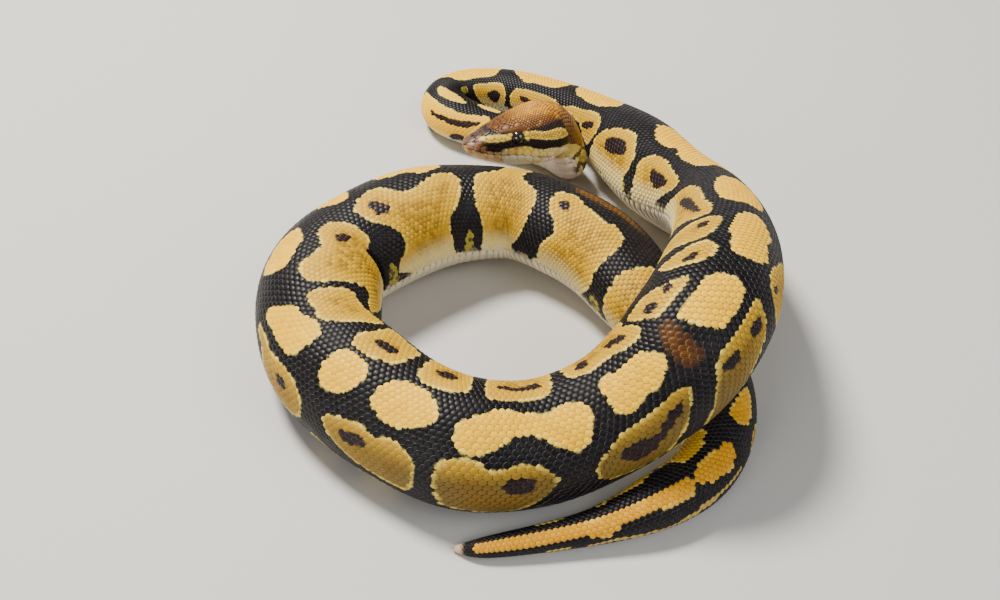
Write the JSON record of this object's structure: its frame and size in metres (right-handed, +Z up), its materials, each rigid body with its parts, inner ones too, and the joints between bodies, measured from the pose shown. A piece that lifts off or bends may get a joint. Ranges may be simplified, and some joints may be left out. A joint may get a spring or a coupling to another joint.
{
  "type": "ball python, coiled, museum model",
  "caption": "Life-size still model of a ball python lying in a loose coil, head resting back over its folded neck and tail curled round the near side.",
  "frame": {"origin": "middle of the bounding box on the floor plane, z = 0 at the belly", "axes": "+Z up from the floor; +Y from the near side of the coil to the folded neck, the longest extent; +X to the side where the body crosses over itself; the head points to -X"},
  "size_m": [0.1699, 0.2324, 0.0603],
  "materials": {
    "body_skin": "smooth glossy scales, black-brown with gold blotches and a cream belly",
    "head_skin": "smooth small scales, brown crown with pale stripes through the eye",
    "jaw_skin": "smooth cream lip scales with dark flecks",
    "eye": "wet-looking dark eye under a clear scale"
  },
  "bodies": {
    "root": {"head": "head_skin", "jaw": "jaw_skin", "eye_left": "eye", "eye_right": "eye", "neck": "body_skin", "trunk_1": "body_skin", "trunk_2": "body_skin", "trunk_3": "body_skin", "trunk_4": "body_skin", "trunk_5": "body_skin", "trunk_6": "body_skin", "trunk_7": "body_skin", "trunk_8": "body_skin", "tail": "body_skin"}
  },
  "joints": []
}
